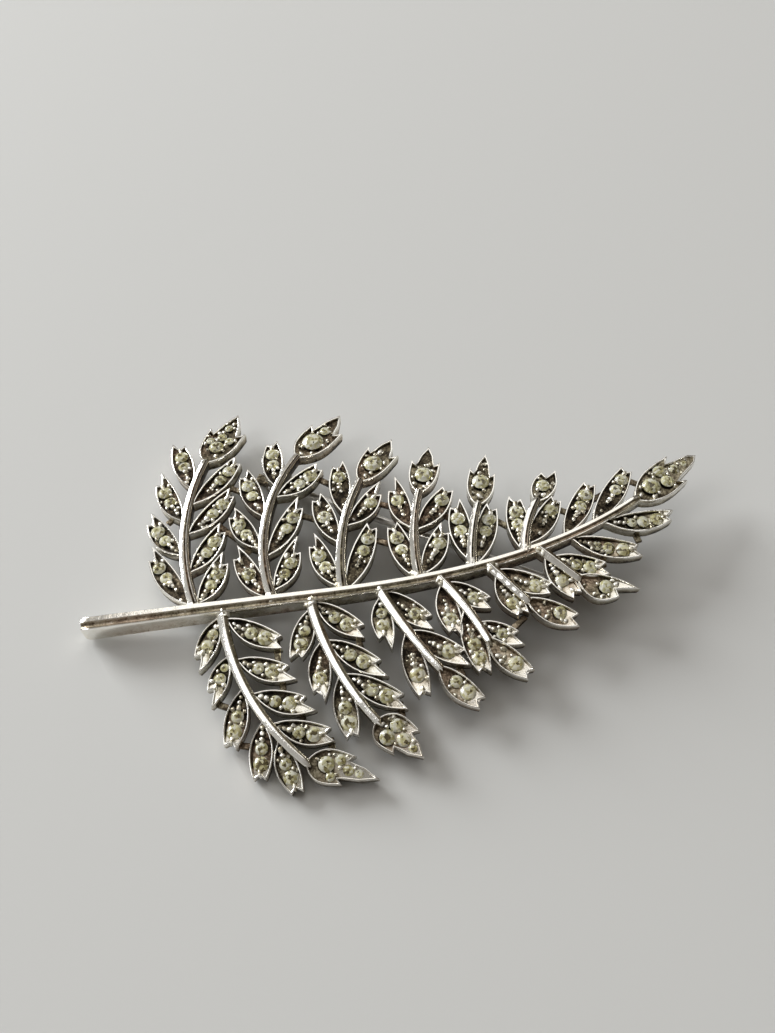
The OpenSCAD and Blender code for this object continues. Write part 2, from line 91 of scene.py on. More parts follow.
# Further stones of the end leaves: leaf, place along and across it, diameter
END_STONES = [
    (0, 4.1, 1.5, 1.1), (0, 5.2, 0.2, 1.2), (0, 7.1, 0.1, 1.0), (0, 4.9, -1.1, 1.1), (1, 6.2, 0.0, 1.2),
    (6, 3.9, 1.2, 1.1), (6, 3.2, -1.0, 0.9), (6, 5.1, 0.2, 1.1), (6, 6.4, 0.1, 0.9),
    (7, 2.3, 1.0, 1.5), (7, 4.0, 0.2, 1.4), (7, 5.5, 0.1, 0.9), (8, 2.9, 0.0, 1.3),
    (12, 6.0, 1.3, 1.5), (12, 5.7, -0.5, 1.5), (12, 7.9, 0.3, 1.3), (12, 9.5, 0.1, 0.9),
]

# Leaflets: frond, place along it, heading, lengths of the left and right tooth, stones, and how far
# these sit back from the notch. Frond 12 is the main stem.
Leaflet = namedtuple("Leaflet", "frond place heading left right stones back")
LEAFLETS = [Leaflet(*row) for row in (
    (0, 1.2, 128, 9.4, 11.2, 2, 0), (0, 8.6, 130, 7.4, 8.8, 2, 0), (0, 13.8, 120, 8.0, 9.8, 2, 0),
    (0, 19.2, 109, 9.2, 8.2, 2, 0), (0, 1.0, 66, 8.2, 6.8, 2, 0), (0, 5.8, 62, 8.4, 7.4, 2, 0),
    (0, 11.8, 52, 9.0, 8.2, 2, 0), (0, 16.6, 54, 9.6, 9.0, 2, 0),
    (1, 0.8, 125, 7.8, 9.4, 1, 1.3), (1, 8.0, 126, 7.0, 8.0, 2, 0), (1, 12.8, 114, 8.0, 9.0, 2, 0),
    (1, 17.8, 97, 7.8, 8.2, 2, 0), (1, 1.6, 67, 8.6, 6.4, 2, 0), (1, 6.8, 65, 10.2, 8.6, 2, 0),
    (1, 16.2, 42, 7.6, 7.4, 2, 0),
    (2, 1.0, 118, 7.4, 9.0, 2, 0), (2, 7.4, 113, 7.8, 8.6, 1, 1.3), (2, 11.8, 97, 8.2, 9.0, 1, 0),
    (2, 0.4, 72, 10.4, 10.0, 2, 0), (2, 10.0, 54, 8.4, 6.6, 1, 0),
    (3, 0.6, 110, 8.4, 8.8, 2, 0), (3, 7.8, 109, 6.8, 8.8, 1, 0), (3, 0.8, 66, 8.4, 7.2, 1, 0),
    (3, 7.6, 57, 7.6, 7.8, 1, 0),
    (4, 1.4, 99, 8.4, 9.6, 2, 0), (4, 0.6, 74, 9.8, 9.2, 2, 0),
    (5, 0.6, 92, 8.4, 7.8, 2, 0), (5, 1.4, 59, 8.4, 8.2, 1, 0),
    (6, 1.6, -24, 7.4, 8.2, 2, 0), (6, 7.4, -13, 6.4, 7.8, 2, 0), (6, 12.4, -9, 6.4, 8.0, 2, 0),
    (6, 17.0, -10, 6.8, 7.6, 2, 0), (6, 1.2, -112, 7.4, 5.8, 2, 0), (6, 6.6, -111, 6.6, 4.8, 2, 0),
    (6, 11.2, -99, 7.2, 7.0, 2, 0), (6, 16.0, -91, 6.8, 6.8, 2, 0), (6, 19.0, -68, 6.6, 6.4, 2, 0),
    (7, 0.8, -32, 7.0, 8.0, 2, 0), (7, 6.4, -27, 7.0, 8.8, 2, 0), (7, 11.4, -25, 7.4, 8.6, 2, 0),
    (7, 1.6, -103, 6.4, 6.8, 2, 0), (7, 6.2, -91, 7.6, 6.4, 1, 0), (7, 11.2, -77, 7.6, 7.6, 2, 0),
    (8, 0.8, -35, 6.8, 8.0, 1, 0), (8, 7.2, -27, 7.0, 8.4, 1, 0), (8, 1.2, -84, 7.2, 5.6, 2, 0),
    (8, 7.0, -74, 8.2, 8.2, 1, 0.9),
    (9, 1.4, -28, 5.6, 6.4, 1, 0), (9, 8.0, -22, 4.8, 6.0, 1, 0), (9, 1.0, -76, 7.4, 6.6, 1, 0),
    (9, 5.6, -74, 8.6, 8.2, 2, 0),
    (10, 1.4, -21, 7.0, 7.2, 1, 0), (10, 1.8, -58, 6.4, 6.0, 1, 0),
    (11, 2.2, -13, 6.6, 7.4, 2, 0), (11, 1.4, -54, 6.4, 6.6, 1, 0.8),
    (12, 62.6, 63, 9.0, 9.3, 2, 0), (12, 67.0, 57, 10.0, 10.0, 2, 0), (12, 68.2, 8, 9.4, 8.8, 3, 0),
    (12, 63.2, -10, 8.6, 9.2, 3, 0),
)]
EMPTY_LEAF = 46  # the leaflet that has lost a stone

# Tie bars under the leaflets: middle x and y, heading, length
TIES = [
    (-21.1, 18.0, -25, 3.6), (-21.5, 11.1, -40, 3.8), (-28.9, 13.8, 46, 2.6), (-18.3, 8.3, 50, 2.6),
    (-9.4, 19.0, -30, 3.8), (-10.4, 12.8, -20, 4.0), (-0.6, 14.5, -20, 3.8), (-0.9, 8.8, -18, 3.6),
    (7.3, 12.5, -25, 3.4), (14.6, 11.2, -34, 3.6), (22.6, 13.0, -27, 2.8), (27.8, 15.2, 30, 2.4),
    (32.6, 17.2, -26, 2.6), (31.7, 9.5, -73, 3.0), (27.0, 6.2, -84, 3.4), (-14.0, -6.4, -84, 3.2),
    (-13.2, -10.1, -84, 3.2), (-10.7, -14.2, -78, 3.0), (-7.0, -18.6, -81, 3.2), (-3.9, -5.1, -78, 3.2),
    (-1.6, -9.7, -80, 3.2), (1.3, -14.4, -80, 3.2), (-20.3, -13.0, -20, 2.2), (-17.3, -17.9, -8, 2.0),
    (8.4, -8.9, -70, 3.0), (15.8, -3.1, 45, 2.8),
]
TIE_W, TIE_T, TIE_Z = 0.8, 0.5, -1.75

# The pin: places of its rivet and its point, and how far it lies under the spray
HINGE, POINT, PIN_DROP = Vector((-16.1, 20.6)), Vector((23.2, 3.4)), 4.9

# The spray's plan, as its solids have it. The leaves lie on a low crown: how it falls away across and
# along the spray, and how its ridge runs.

BOW_ACROSS, BOW_ALONG, RIDGE_SLANT, RIDGE_Y = 0.0022, 0.0005, 0.2, 4
STEM_FOOT, STEM_HEADING, STEM_POINTS, FROND_POINTS = (-38.75, -2.6), 6, 25, 9
BEND_FROM, BEND, BEND_MORE = 29.4, 0.235, 0.0099


def crown(p):
    return -BOW_ACROSS * (p[1] - RIDGE_SLANT * p[0] - RIDGE_Y) ** 2 - BOW_ALONG * p[0] ** 2


def heading_vector(a):
    return Vector((cos(radians(a)), sin(radians(a))))


def slope(p, a):
    step = 0.5 * heading_vector(a)
    return crown(p + step) - crown(p - step)


def stem_path(p0, length, n, heading):
    d = length / (n - 1)
    points = [Vector(p0)]
    for i in range(n - 1):
        points.append(points[-1] + d * heading_vector(heading((i + 0.5) * d)))
    return points


def stem_heading(s):
    u = max(s - BEND_FROM, 0)
    return STEM_HEADING + BEND * u + BEND_MORE * u * u


def along(path, length, s):
    k = max(0, min(s / length, 1)) * (len(path) - 1)
    i = min(int(k), len(path) - 2)
    return path[i].lerp(path[i + 1], k - i)


def heading_at(path, i):
    run = path[min(i + 1, len(path) - 1)] - path[max(i - 1, 0)]
    return degrees(atan2(run.y, run.x))


def frond_path(f):
    return stem_path(along(STEM, STEM_LEN, f.foot), f.length, FROND_POINTS,
                     lambda s: f.heading + (f.tip_heading - f.heading) * s / f.length)


STEM = stem_path(STEM_FOOT, STEM_LEN, STEM_POINTS, stem_heading)
STEMS = [frond_path(f) for f in FRONDS] + [STEM]
LENGTHS = [f.length for f in FRONDS] + [STEM_LEN]


def leaf_frame(p, a, length):
    """A leaf's own frame at its foot, following the crown and dipping to its tip."""
    m = p + 0.5 * length * heading_vector(a)
    tip = radians(DROOP) - atan(slope(m, a))
    return (Matrix.Translation((p.x, p.y, crown(p))) @ Matrix.Rotation(radians(a), 4, "Z")
            @ Matrix.Rotation(tip, 4, "Y") @ Matrix.Rotation(atan(slope(m, a + 90)), 4, "X"))


# Outlines of leaves. ARCH bows a leaflet to one side, and the belly is the curve of its sides. On a leaf
# with three teeth the notches stand at shares of a side tooth's length and angle. The middle tooth of
# the leaf at the tip is blunt.

SIDE_STEPS = (0.05, 0.12, 0.2, 0.3, 0.4, 0.5, 0.6, 0.7, 0.78, 0.86, 0.93)
FOOT_IN, NOTCH_IN, NOTCH_AT, ARCH = 0.4, 0.6, 0.93, 0.45
BELLY_TURN, BELLY_EARLY, BELLY_FULL, BULGE_EARLY = 155, 0.9, 0.8, 0.8
NOTCH_SHARE, NOTCH_TURN, SHOULDER_SHARE, SHOULDER_BULGE = 0.84, 0.76, 0.62, 0.1
BLUNT, BLUNT_BACK = 0.55, 0.4
NARROWEST, WIDER_PER_MM, FOOT_ASIDE, END_LAP = 0.5, 0.07, 0.45, 0.8


def belly(t, w):
    return w / 2 * max(sin(radians(BELLY_TURN * t ** BELLY_EARLY)), 0) ** BELLY_FULL


def arc_y(t, h):
    return -h * sin(pi * t)


def arch(heading):
    return ARCH * cos(radians(heading))


def between(a, b, n):
    return [a.lerp(b, (i + 1) / (n + 1)) for i in range(n)]


def two_teeth(left, right, w, heading):
    h = arch(heading)

    def side(length, s):
        return [Vector((t * length, s * belly(t, w) + arc_y(t, h))) for t in SIDE_STEPS]
    tips = [Vector((right, -belly(1, w))), Vector((left, belly(1, w)))]
    notch = Vector((min(left, right) - NOTCH_IN, arc_y(NOTCH_AT, h)))
    return ([Vector((-FOOT_IN, 0))] + side(right, -1) + [tips[0]] + between(tips[0], notch, 2) + [notch]
            + between(notch, tips[1], 2) + [tips[1]] + side(left, 1)[::-1])


def three_teeth(left, mid, right, spread, w, blunt):
    a = radians(spread)
    bulge = w / 2 - (left + right) / 4 * sin(a)

    def side(length, s):
        return [t * length * Vector((cos(a), s * sin(a)))
                + bulge * sin(pi * t ** BULGE_EARLY) * Vector((-sin(a), s * cos(a))) for t in SIDE_STEPS]

    def end(length, s):
        tip = length * Vector((cos(a), s * sin(a)))
        notch = NOTCH_SHARE * length * Vector((cos(NOTCH_TURN * a), s * sin(NOTCH_TURN * a)))
        shoulder = Vector(((notch.x + mid) / 2, SHOULDER_SHARE * notch.y + s * SHOULDER_BULGE * bulge))
        mid_tip = Vector((mid - BLUNT_BACK * blunt, s * blunt))
        return ([tip] + between(tip, notch, 2) + [notch] + between(notch, shoulder, 2) + [shoulder]
                + between(shoulder, mid_tip, 2))
    return ([Vector((-FOOT_IN, 0))] + side(right, -1) + end(right, -1) + [Vector((mid, 0))]
            + end(left, 1)[::-1] + side(left, 1)[::-1])


def mean_len(v):
    return (v.left + v.right) / 2


def leaf_outline(v):
    width = LEAF_W * min(1, NARROWEST + WIDER_PER_MM * mean_len(v))
    return two_teeth(v.left, v.right, width, v.heading)


def leaf_matrix(v):
    path, length = STEMS[v.frond], LENGTHS[v.frond]
    a = heading_at(path, int(v.place / length * (len(path) - 1) + 0.5))
    side = FOOT_ASIDE if sin(radians(v.heading - a)) > 0 else -FOOT_ASIDE
    foot = along(path, length, v.place) + side * Vector((-sin(radians(a)), cos(radians(a))))
    return leaf_frame(foot, v.heading, mean_len(v))


def end_outline(i):
    v = END_LEAVES[i]
    if v.mid:
        return three_teeth(v.left, v.mid, v.right, v.spread, v.width, BLUNT if i == MAIN else 0.0)
    return two_teeth(v.left, v.right, v.width, v.heading)


def end_matrix(i):
    foot = along(STEMS[i], LENGTHS[i], LENGTHS[i] - END_LAP)
    return leaf_frame(foot, END_LEAVES[i].heading, END_LEAVES[i].left)


# Moving an outline inwards. At a corner the points move by no more than SPIKE times the inset, or
# INNER_SPIKE at a corner that turns the other way.

SPIKE, INNER_SPIKE, TURNS_BACK, LEAST_COS = 3.0, 1.0, -0.3, 0.05
CLEAR, MEET_CLEAR, MEET_FAR, SHRUNK, PARALLEL = 0.96, 0.5, 2, 0.3, 1e-9


def to_edge(q, a, b):
    run = b - a
    return (q - a - max(0, min(1, (q - a).dot(run) / run.dot(run))) * run).length


def room(q, outline):
    return min(to_edge(q, outline[i - 1], outline[i]) for i in range(len(outline)))


def crossing(a, b, c, d):
    """Where the line from a through b meets the line from d through c, or None if they don't meet ahead."""
    u, v = b - a, c - d
    turn = u.x * v.y - u.y * v.x
    if abs(turn) < PARALLEL:
        return None
    k = ((d.x - a.x) * v.y - (d.y - a.y) * v.x) / turn
    return a + k * u if k > 0 else None


def inset(outline, r):
    """The outline moved inwards by r. Points that would fold over at a corner come together there."""
    n = len(outline)
    moved, good = [], []
    for i, p in enumerate(outline):
        a = (p - outline[i - 1]).normalized()
        b = (outline[(i + 1) % n] - p).normalized()
        m = Vector((-a.y - b.y, a.x + b.x)) / max(1 + a.dot(b), LEAST_COS)
        most = INNER_SPIKE if a.x * b.y - a.y * b.x < TURNS_BACK else SPIKE
        q = p + r * m * min(1, most / m.length)
        moved.append(q)
        good.append(room(q, outline) > CLEAR * r)
    if sum(good) < n / 3:
        middle = sum(outline, Vector((0, 0))) / n
        return [middle + (p - middle) * SHRUNK for p in outline]
    start = good.index(True)
    order = [(start + k) % n for k in range(n + 1)]
    k = 0
    while k < n:
        if good[order[k]] and not good[order[k + 1]]:
            stop = next(j for j in range(k + 1, n + 1) if good[order[j]])
            a, b = order[k], order[stop]
            meet = crossing(moved[a - 1], moved[a], moved[b], moved[(b + 1) % n])
            if meet is None or (meet - moved[a]).length > MEET_FAR or room(meet, outline) < MEET_CLEAR * r:
                meet = moved[a].lerp(moved[b], 0.5)
            for j in range(k + 1, stop):
                moved[order[j]] = meet
            k = stop
        else:
            k += 1
    return moved


# Meshes: points in spray millimetres, faces, and a value for each point, called dirt. On metal it is the
# tarnish together with painted shade on the sides away from the light, and on a stone the painted light and
# shade of its crown and the age of its foil. SHARP is in degrees and MERGE in metres.

SHARP, MERGE = 35, 2e-6


class Part:
    def __init__(self):
        self.points, self.faces, self.dirt, self.kinds = [], [], [], []

    def ring(self, points, dirt, m=Matrix()):
        first = len(self.points)
        self.points += [m @ Vector(p) for p in points]
        self.dirt += dirt if isinstance(dirt, list) else [dirt] * len(points)
        return list(range(first, len(self.points)))

    def face(self, corners, kind=0):
        self.faces.append(corners)
        self.kinds.append(kind)

    def bridge(self, a, b):
        for i in range(len(a)):
            self.face((a[i - 1], a[i], b[i], b[i - 1]))

    def loft(self, rings):
        """A closed skin from the first ring to the last."""
        for a, b in zip(rings, rings[1:]):
            self.bridge(a, b)
        self.face(rings[0])
        self.face(rings[-1])

    def object(self, name, materials, nodes, body="frame", sharp=SHARP):
        mesh = bpy.data.meshes.new(name)
        mesh.from_pydata([LAID @ p for p in self.points], [], self.faces)
        mesh.transform(METRE)
        dirt = mesh.attributes.new("dirt", "FLOAT", "POINT")
        dirt.data.foreach_set("value", self.dirt)
        mesh.polygons.foreach_set("material_index", self.kinds)
        for material in materials:
            mesh.materials.append(material)
        bm = bmesh.new()
        bm.from_mesh(mesh)
        bmesh.ops.remove_doubles(bm, verts=bm.verts, dist=MERGE)
        bmesh.ops.recalc_face_normals(bm, faces=bm.faces)
        bm.to_mesh(mesh)
        bm.free()
        mesh.polygons.foreach_set("use_smooth", [sharp > 0] * len(mesh.polygons))
        if sharp:
            mesh.set_sharp_from_angle(angle=radians(sharp))
        piece = bpy.data.objects.new(name, mesh)
        bpy.context.scene.collection.objects.link(piece)
        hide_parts(*nodes)
        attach(piece, body)
        return piece


# Materials. Noise scales are per millimetre and bump heights in millimetres.

PER_MM, MM = 1000, 0.001


def new_material(name):
    material = bpy.data.materials.new(name)
    material.use_nodes = True
    nodes = material.node_tree.nodes
    return material, nodes, material.node_tree.links, nodes["Principled BSDF"]


def ramp(nodes, stops):
    node = nodes.new("ShaderNodeValToRGB")
    for element, (at, colour) in zip(node.color_ramp.elements, (stops[0], stops[-1])):
        element.position = at
        element.color = (*colour, 1)
    for at, colour in stops[1:-1]:
        node.color_ramp.elements.new(at).color = (*colour, 1)
    return node


def noise_of(nodes, links, where, scale, detail=3):
    node = nodes.new("ShaderNodeTexNoise")
    node.inputs["Scale"].default_value = scale * PER_MM
    node.inputs["Detail"].default_value = detail
    links.new(where.outputs["Object"], node.inputs["Vector"])
    return node.outputs["Fac"]


def flats_of(nodes, links, where, scale):
    """Small flats, each of its own random colour, split into red, green and blue."""
    flats = nodes.new("ShaderNodeTexVoronoi")
    flats.inputs["Scale"].default_value = scale * PER_MM
    links.new(where.outputs["Object"], flats.inputs["Vector"])
    split = nodes.new("ShaderNodeSeparateColor")
    links.new(flats.outputs["Color"], split.inputs["Color"])
    return split.outputs


def dirt_of(nodes):
    node = nodes.new("ShaderNodeAttribute")
    node.attribute_name = "dirt"
    return node.outputs["Fac"]


def math_of(nodes, links, operation, a, b):
    node = nodes.new("ShaderNodeMath")
    node.operation = operation
    for socket, value in ((node.inputs[0], a), (node.inputs[1], b)):
        if isinstance(value, (int, float)):
            socket.default_value = value
        else:
            links.new(value, socket)
    return node.outputs[0]


def mapped(nodes, links, value, lowest=0.0, highest=1.0, to_lowest=0.0, to_highest=1.0):
    node = nodes.new("ShaderNodeMapRange")
    node.inputs["From Min"].default_value = lowest
    node.inputs["From Max"].default_value = highest
    node.inputs["To Min"].default_value = to_lowest
    node.inputs["To Max"].default_value = to_highest
    links.new(value, node.inputs["Value"])
    return node.outputs["Result"]


def about_zero(nodes, links, value, strength):
    return math_of(nodes, links, "MULTIPLY", math_of(nodes, links, "SUBTRACT", value, 0.5), strength)


def mottle(nodes, links, where, scales):
    """A sum of noises about zero: pairs of scale and strength."""
    total = None
    for scale, strength in scales:
        part = about_zero(nodes, links, noise_of(nodes, links, where, scale, 4), strength)
        total = part if total is None else math_of(nodes, links, "ADD", total, part)
    return total


def uneven(nodes, links, shader, where, bumps):
    """Bump from noises: scale, strength, height."""
    normal = None
    for scale, strength, height in bumps:
        bump = nodes.new("ShaderNodeBump")
        bump.inputs["Strength"].default_value = strength
        bump.inputs["Distance"].default_value = height * MM
        links.new(noise_of(nodes, links, where, scale), bump.inputs["Height"])
        if normal:
            links.new(normal, bump.inputs["Normal"])
        normal = bump.outputs["Normal"]
    links.new(normal, shader.inputs["Normal"])


def mixed(nodes, links, share, tone, first, second):
    """The colour of two ramps read at one tone, with that share of the second."""
    mix = nodes.new("ShaderNodeMix")
    mix.data_type = "RGBA"
    links.new(share, mix.inputs["Factor"])
    for name, shades in (("A", first), ("B", second)):
        links.new(tone, shades.inputs["Fac"])
        links.new(shades.outputs["Color"], [s for s in mix.inputs if s.name == name and s.type == "RGBA"][0])
    return [s for s in mix.outputs if s.type == "RGBA"][0]


def coloured(nodes, links, shader, tone, stops):
    shades = ramp(nodes, stops)
    links.new(tone, shades.inputs["Fac"])
    links.new(shades.outputs["Color"], shader.inputs["Base Color"])


def plated_metal():
    """Bright plating on raised edges, olive or reddish tarnish on the walls, near black in the recesses, and
    painted shade on the sides away from the light.
    """
    material, nodes, links, shader = new_material("plated_metal")
    where = nodes.new("ShaderNodeTexCoord")
    dirt = dirt_of(nodes)
    spread = math_of(nodes, links, "MULTIPLY", math_of(nodes, links, "ADD", dirt, 0.3),
                     mottle(nodes, links, where, ((0.9, 0.9), (4.0, 0.8))))
    amount = math_of(nodes, links, "ADD", dirt, spread)
    olive = ramp(nodes, [(0.0, (0.96, 0.95, 0.91)), (0.25, (0.84, 0.81, 0.72)), (0.5, (0.41, 0.37, 0.265)),
                         (0.75, (0.12, 0.10, 0.068)), (1.0, (0.022, 0.018, 0.014))])
    reddish = ramp(nodes, [(0.0, (0.96, 0.94, 0.89)), (0.25, (0.85, 0.78, 0.68)), (0.5, (0.44, 0.345, 0.255)),
                           (0.75, (0.13, 0.093, 0.066)), (1.0, (0.022, 0.018, 0.014))])
    patches = mapped(nodes, links, noise_of(nodes, links, where, 0.14, 2), 0.46, 0.64)
    links.new(mixed(nodes, links, patches, amount, olive, reddish), shader.inputs["Base Color"])
    links.new(mapped(nodes, links, amount, to_lowest=0.11, to_highest=0.5), shader.inputs["Roughness"])
    shader.inputs["Metallic"].default_value = 1.0
    uneven(nodes, links, shader, where, ((1.4, 0.2, 0.12), (7.0, 0.08, 0.04)))
    return material


def bead_metal():
    """Raised grains, prongs and solder: soft bright metal, a little cream."""
    material, nodes, links, shader = new_material("bead_metal")
    where = nodes.new("ShaderNodeTexCoord")
    coloured(nodes, links, shader, noise_of(nodes, links, where, 1.6, 2),
             [(0.36, (0.30, 0.26, 0.18)), (0.48, (0.80, 0.76, 0.63)), (0.6, (0.98, 0.96, 0.90))])
    shader.inputs["Metallic"].default_value = 0.8
    shader.inputs["Roughness"].default_value = 0.38
    uneven(nodes, links, shader, where, ((5.0, 0.3, 0.05),))
    return material


def pin_metal():
    """Drawn wire: fine uneven marks, a little duller than the plating."""
    material, nodes, links, shader = new_material("pin_metal")
    where = nodes.new("ShaderNodeTexCoord")
    marks = noise_of(nodes, links, where, 3.0, 4)
    coloured(nodes, links, shader, marks, [(0.3, (0.90, 0.89, 0.86)), (0.7, (0.99, 0.98, 0.96))])
    shader.inputs["Metallic"].default_value = 0.9
    links.new(mapped(nodes, links, marks, to_lowest=0.22, to_highest=0.4), shader.inputs["Roughness"])
    return material


def paste_crown():
    """The cut front of a stone, coloured with painted light and shade: painted highlights at its kites,
    painted sparkle mottled further in, and painted shade at the centre.
    """
    material, nodes, links, shader = new_material("paste_crown")
    where = nodes.new("ShaderNodeTexCoord")
    inward = dirt_of(nodes)
    jitter = about_zero(nodes, links, flats_of(nodes, links, where, 2.7)["Green"], 1.35)
    coloured(nodes, links, shader, math_of(nodes, links, "ADD", inward, jitter),
             [(0.0, (1.0, 0.99, 0.86)), (0.3, (0.90, 0.87, 0.58)), (0.6, (0.70, 0.66, 0.36)),
              (0.85, (0.40, 0.35, 0.17)), (1.0, (0.14, 0.115, 0.06))])
    shader.inputs["Roughness"].default_value = 0.08
    shader.inputs["IOR"].default_value = 1.5
    shader.inputs["Transmission Weight"].default_value = 0.45
    return material


def paste_foil():
    """The foiled back of a stone: small flats, each of its own tone, a painted sparkle of the facets seen
    through the crown, browner on the older stones.
    """
    material, nodes, links, shader = new_material("paste_foil")
    where = nodes.new("ShaderNodeTexCoord")
    tone = flats_of(nodes, links, where, 2.4)["Red"]
    fresh = ramp(nodes, [(0.0, (0.30, 0.29, 0.15)), (0.25, (0.74, 0.73, 0.46)), (0.7, (0.95, 0.95, 0.74)),
                         (1.0, (1.0, 1.0, 0.97))])
    aged = ramp(nodes, [(0.0, (0.10, 0.07, 0.04)), (0.3, (0.42, 0.33, 0.18)), (0.75, (0.72, 0.66, 0.42)),
                        (1.0, (0.98, 0.95, 0.85))])
    links.new(mixed(nodes, links, dirt_of(nodes), tone, fresh, aged), shader.inputs["Base Color"])
    shader.inputs["Metallic"].default_value = 0.45
    shader.inputs["Roughness"].default_value = 0.25
    return material


PLATED, PIN, GRAIN, CROWN, FOIL = plated_metal(), pin_metal(), bead_metal(), paste_crown(), paste_foil()

# Stems: two polished ridges with a dull flute between them, over tall flanks. The lower fronds have a darker
# slope, painted shade on the side away from the light, and a broad polished one in their place. Each row is a
# place across in widths, a height over the crest in widths, and the tarnish, with painted shade on the outer
# slope away from the light.

FROND_SECTION = [
    (-0.5, -0.42, 0.5), (-0.485, -0.21, 0.2), (-0.44, -0.13, 0.0), (-0.3, -0.08, 0.0), (-0.12, -0.03, 0.0),
    (-0.02, -0.01, 0.0), (0.02, -0.08, 0.65), (0.07, -0.12, 0.9), (0.13, -0.12, 0.9), (0.18, -0.07, 0.6),
    (0.22, -0.02, 0.0), (0.3, -0.05, 0.0), (0.42, -0.13, 0.25), (0.485, -0.25, 0.55), (0.5, -0.42, 0.7),
]
# The darker slope of these fronds is painted shade, on the side away from the light.
LOWER_SECTION = [  # from right to left, as these fronds run down
    (-0.5, -0.42, 0.7), (-0.49, -0.3, 0.6), (-0.44, -0.2, 0.4), (-0.3, -0.1, 0.5), (-0.17, -0.03, 0.4),
    (-0.12, -0.01, 0.1), (-0.08, 0.0, 0.0), (-0.03, -0.01, 0.0), (0.1, -0.07, 0.0), (0.28, -0.155, 0.0),
    (0.44, -0.235, 0.0), (0.485, -0.3, 0.2), (0.5, -0.42, 0.5),
]
STEM_SECTION = [
    (-0.5, -0.45, 0.3), (-0.48, -0.2, 0.1), (-0.44, -0.06, 0.0), (-0.4, -0.01, 0.05), (-0.36, 0.0, 0.08),
    (-0.1, 0.0, 0.08), (-0.06, -0.05, 0.4), (0.03, -0.17, 0.62), (0.13, -0.21, 0.6), (0.23, -0.19, 0.55),
    (0.31, -0.1, 0.4), (0.37, -0.04, 0.0), (0.43, -0.05, 0.0), (0.48, -0.14, 0.1), (0.5, -0.35, 0.3),
]
# Flanks: place across in widths, share of the way from the shoulder down, and tarnish with painted shade,
# darker towards the bottom
FLANKS = ((0.49, 0.6, 0.6), (0.44, 1.0, 0.8), (-0.44, 1.0, 0.8), (-0.49, 0.6, 0.6))
SHOULDER, FLANK_FROM, CUT_W, TIP_LEAST, STEM_SPAN = 0.45, 0.4, 0.72, 0.05, 4
STEM_WORN, STEM_WORN_PER_MM = 0.03, 1.3

# Walls carry painted shade on the lower right, the side away from the light. The main stem is cleanest at its
# cut end, and sits a little lower than its solid, whose crest is flat.
SHADE_SIDE, SHADE_MEAN, SHADE_SWING, STEM_CLEAN, SUNK = Vector((0.8, -0.6)), 0.95, 0.4, 0.75, 0.13


def with_side_shade(dirt, out):
    """The tarnish of a wall that faces out, with painted shade added on the lower right, away from the light.
    """
    return dirt * (SHADE_MEAN + SHADE_SWING * out.dot(SHADE_SIDE))


def smooth_path(path, per_span):
    """More points, on a smooth curve through the path's own."""
    points = []
    for i in range(len(path) - 1):
        p0, p1, p2 = path[max(i - 1, 0)], path[i], path[i + 1]
        p3 = path[min(i + 2, len(path) - 1)]
        for k in range(per_span):
            t = k / per_span
            points.append(0.5 * (2 * p1 + (p2 - p0) * t + (2 * p0 - 5 * p1 + 4 * p2 - p3) * t * t
                                 + (3 * p1 - p0 - 3 * p2 + p3) * t ** 3))
    return points + [path[-1]]


def stem(part, path, length, w, crest, depth, section, clean=0.0):
    """A stem from its cut end to its rounded tip. Pairs are values at the two ends."""
    points = smooth_path(path, STEM_SPAN)
    n = len(points)
    step = length / (n - 1)
    rings = []
    for i, p in enumerate(points):
        t = i / (n - 1)
        run = points[min(i + 1, n - 1)] - points[max(i - 1, 0)]
        across = Vector((run.y, -run.x)).normalized()
        wide, high, deep = (v[0] + (v[1] - v[0]) * t for v in (w, crest, depth))
        to_tip = (n - 1 - i) * step
        full = 1.0
        if to_tip < wide / 2:
            full = max(1 - (1 - to_tip / (wide / 2)) ** 2, TIP_LEAST) ** 0.5
        if i == 0:
            full = CUT_W
        wear = 1 - clean * (1 - t) ** 2
        ring, dirt = [], []

        # The stem's sides: tarnish with painted shade on the side away from the light.
        def wall_dirt(x, d):
            return with_side_shade(d * wear, across * (1 if x > 0 else -1))
        for x, z, d in section:
            q = p + across * x * wide * full
            worn = STEM_WORN * noise.noise(Vector((q.x, q.y, 0)) * STEM_WORN_PER_MM)
            ring.append((q.x, q.y, crown(p) + high + z * wide - (1 - full) * SHOULDER * wide + worn))
            dirt.append(wall_dirt(x, d) if abs(x) > FLANK_FROM else d)
        for x, down, d in FLANKS:
            q = p + across * x * wide * full
            ring.append((q.x, q.y, crown(p) + high - SHOULDER * wide - (deep - SHOULDER * wide) * down))
            dirt.append(wall_dirt(x, d))
        rings.append(part.ring(ring, dirt))
    part.loft(rings)


stems = Part()
for f, path in zip(FRONDS, STEMS):
    stem(stems, path, f.length, (FROND_W, FROND_END_W), (FROND_CREST, FROND_END_CREST),
         (FROND_DEPTH, FROND_END_DEPTH), FROND_SECTION if f.heading > 0 else LOWER_SECTION)
stem(stems, STEM, STEM_LEN, (STEM_W, STEM_END_W), (STEM_CREST - SUNK, STEM_END_CREST - SUNK),
     (STEM_DEPTH, STEM_END_DEPTH), STEM_SECTION, STEM_CLEAN)
stems.object("fern_stems", [PLATED], ["fern_frame"])

# Cups: a thin rounded rim, a dark pocket that is shallow in the teeth, and walls that darken downwards, with
# painted shade on their lower right sides. Teeth are pairs of depth and darkness, reached over a millimetre.
# End leaves have paler pockets.

